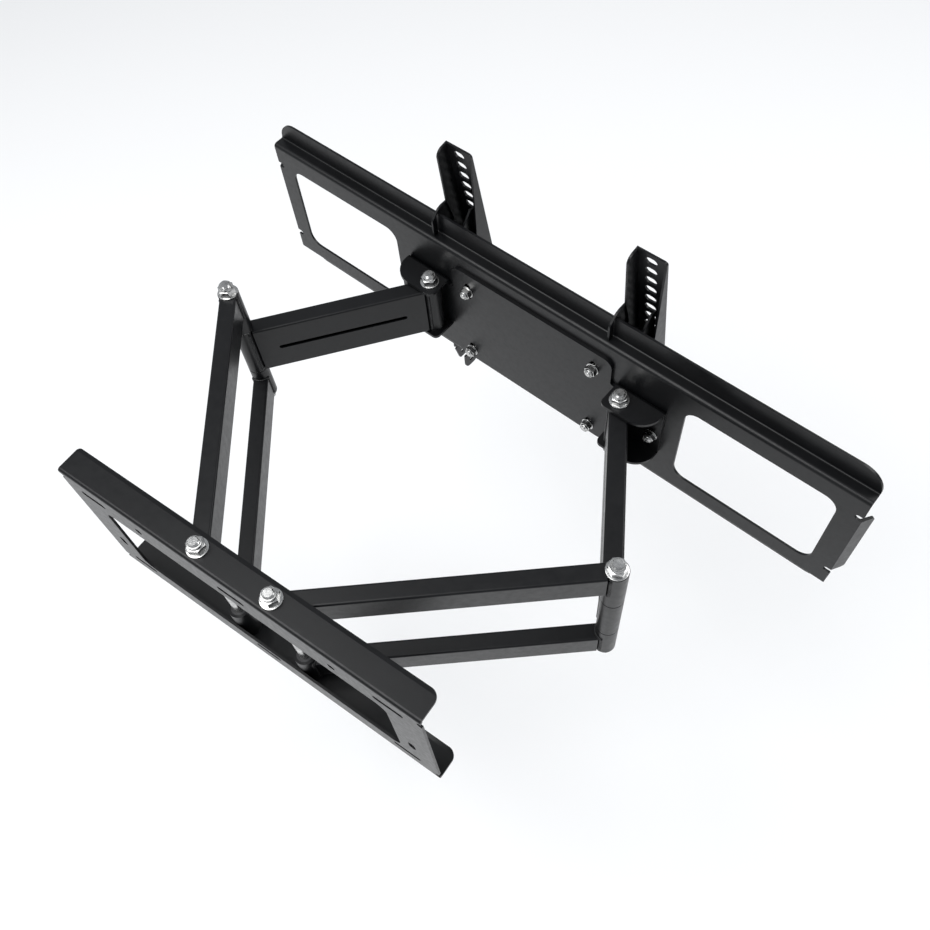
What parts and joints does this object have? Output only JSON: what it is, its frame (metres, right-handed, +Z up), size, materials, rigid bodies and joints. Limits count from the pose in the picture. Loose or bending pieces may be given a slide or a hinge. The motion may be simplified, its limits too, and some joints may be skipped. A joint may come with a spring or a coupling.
{
  "type": "tv wall mount",
  "caption": "Full motion TV wall mount: a slotted wall plate, paired folding arms, a long channel TV plate and tilting slotted rails on hook brackets.",
  "frame": {"origin": "centre of the wall plate's back face, which is the centre of the corner wall slots", "axes": "+Z up, +Y from the wall towards the television, +X to the right seen from the wall looking at the television"},
  "size_m": [0.8723, 0.5908, 0.4302],
  "materials": {
    "black_steel": "satin black powder coat",
    "zinc": "bright zinc plate",
    "bush": "black acetal"
  },
  "bodies": {
    "wall": {"wall_plate": "black_steel", "wall_pivot_bolts": "zinc", "wall_pivot_nuts": "zinc", "wall_pivot_washers": "zinc"},
    "left_long_arm": {"left_upper_bar": "black_steel", "left_lower_bar": "black_steel", "left_long_arm_bushes": "bush", "left_elbow_bolt": "zinc", "left_elbow_nut": "zinc", "left_elbow_washers": "zinc"},
    "left_short_arm": {"left_short_arm": "black_steel", "left_short_arm_bushes": "bush"},
    "right_long_arm": {"right_upper_bar": "black_steel", "right_lower_bar": "black_steel", "right_long_arm_bushes": "bush", "right_elbow_bolt": "zinc", "right_elbow_nut": "zinc", "right_elbow_washers": "zinc"},
    "right_short_arm": {"right_short_arm": "black_steel", "right_short_arm_bushes": "bush"},
    "head": {"arm_adapter": "black_steel", "head_pivot_bolts": "zinc", "head_pivot_nuts": "zinc", "head_pivot_washers": "zinc"},
    "tv_plate": {"tv_plate": "black_steel", "adapter_bolts": "zinc", "adapter_washers": "zinc", "adapter_nuts": "zinc"},
    "left_bracket": {"left_hook_bracket": "black_steel", "left_tilt_bolt": "zinc", "left_tilt_nut": "zinc", "left_lock_bolt": "zinc", "left_lock_nut": "zinc"},
    "left_rail": {"left_rail": "black_steel", "left_guide_bolt": "zinc", "left_guide_nut": "zinc"},
    "right_bracket": {"right_hook_bracket": "black_steel", "right_tilt_bolt": "zinc", "right_tilt_nut": "zinc", "right_lock_bolt": "zinc", "right_lock_nut": "zinc"},
    "right_rail": {"right_rail": "black_steel", "right_guide_bolt": "zinc", "right_guide_nut": "zinc"}
  },
  "joints": [
    {"name": "arm_extension", "type": "hinge", "parent": "wall", "child": "left_long_arm", "pos_m": [-0.049, 0.016, 0], "axis": [0, 0, -1], "range_deg": [-40, 12]},
    {"name": "left_elbow", "type": "hinge", "parent": "left_long_arm", "child": "left_short_arm", "pos_m": [-0.25079, 0.28089, 0], "axis": [0, 0, 1], "range_deg": [-80, 26]},
    {"name": "head_pivot", "type": "hinge", "parent": "left_short_arm", "child": "head", "pos_m": [-0.09497, 0.46079, 0], "axis": [0, 0, 1], "range_deg": [-15, 45]},
    {"name": "right_wall_pivot", "type": "hinge", "parent": "wall", "child": "right_long_arm", "pos_m": [0.049, 0.016, 0], "axis": [0, 0, 1], "range_deg": [-31, 11]},
    {"name": "right_elbow", "type": "hinge", "parent": "right_long_arm", "child": "right_short_arm", "pos_m": [0.30734, 0.22611, 0], "axis": [0, 0, 1], "range_deg": [-25, 78]},
    {"name": "height_adjust", "type": "slide", "parent": "head", "child": "tv_plate", "axis": [0, 0, 1], "range_m": [-0.008, 0.008]},
    {"name": "left_bracket_slide", "type": "slide", "parent": "tv_plate", "child": "left_bracket", "axis": [0.9957, -0.0924, 0], "range_m": [-0.25, 0.09]},
    {"name": "left_tilt", "type": "hinge", "parent": "left_bracket", "child": "left_rail", "pos_m": [-0.0778, 0.53753, 0], "axis": [0.9957, -0.0924, 0], "range_deg": [-18, 0]},
    {"name": "right_bracket_slide", "type": "slide", "parent": "tv_plate", "child": "right_bracket", "axis": [0.9957, -0.0924, 0], "range_m": [-0.09, 0.25]},
    {"name": "right_tilt", "type": "hinge", "parent": "right_bracket", "child": "right_rail", "pos_m": [0.18009, 0.5136, 0], "axis": [0.9957, -0.0924, 0], "range_deg": [-18, 0]}
  ],
  "couplings": [
    {"joint": "left_elbow", "follows": "arm_extension", "ratio": 1.9313},
    {"joint": "head_pivot", "follows": "arm_extension", "ratio": -1.0516},
    {"joint": "right_wall_pivot", "follows": "arm_extension", "ratio": 0.7144},
    {"joint": "right_elbow", "follows": "arm_extension", "ratio": -1.8757}
  ]
}
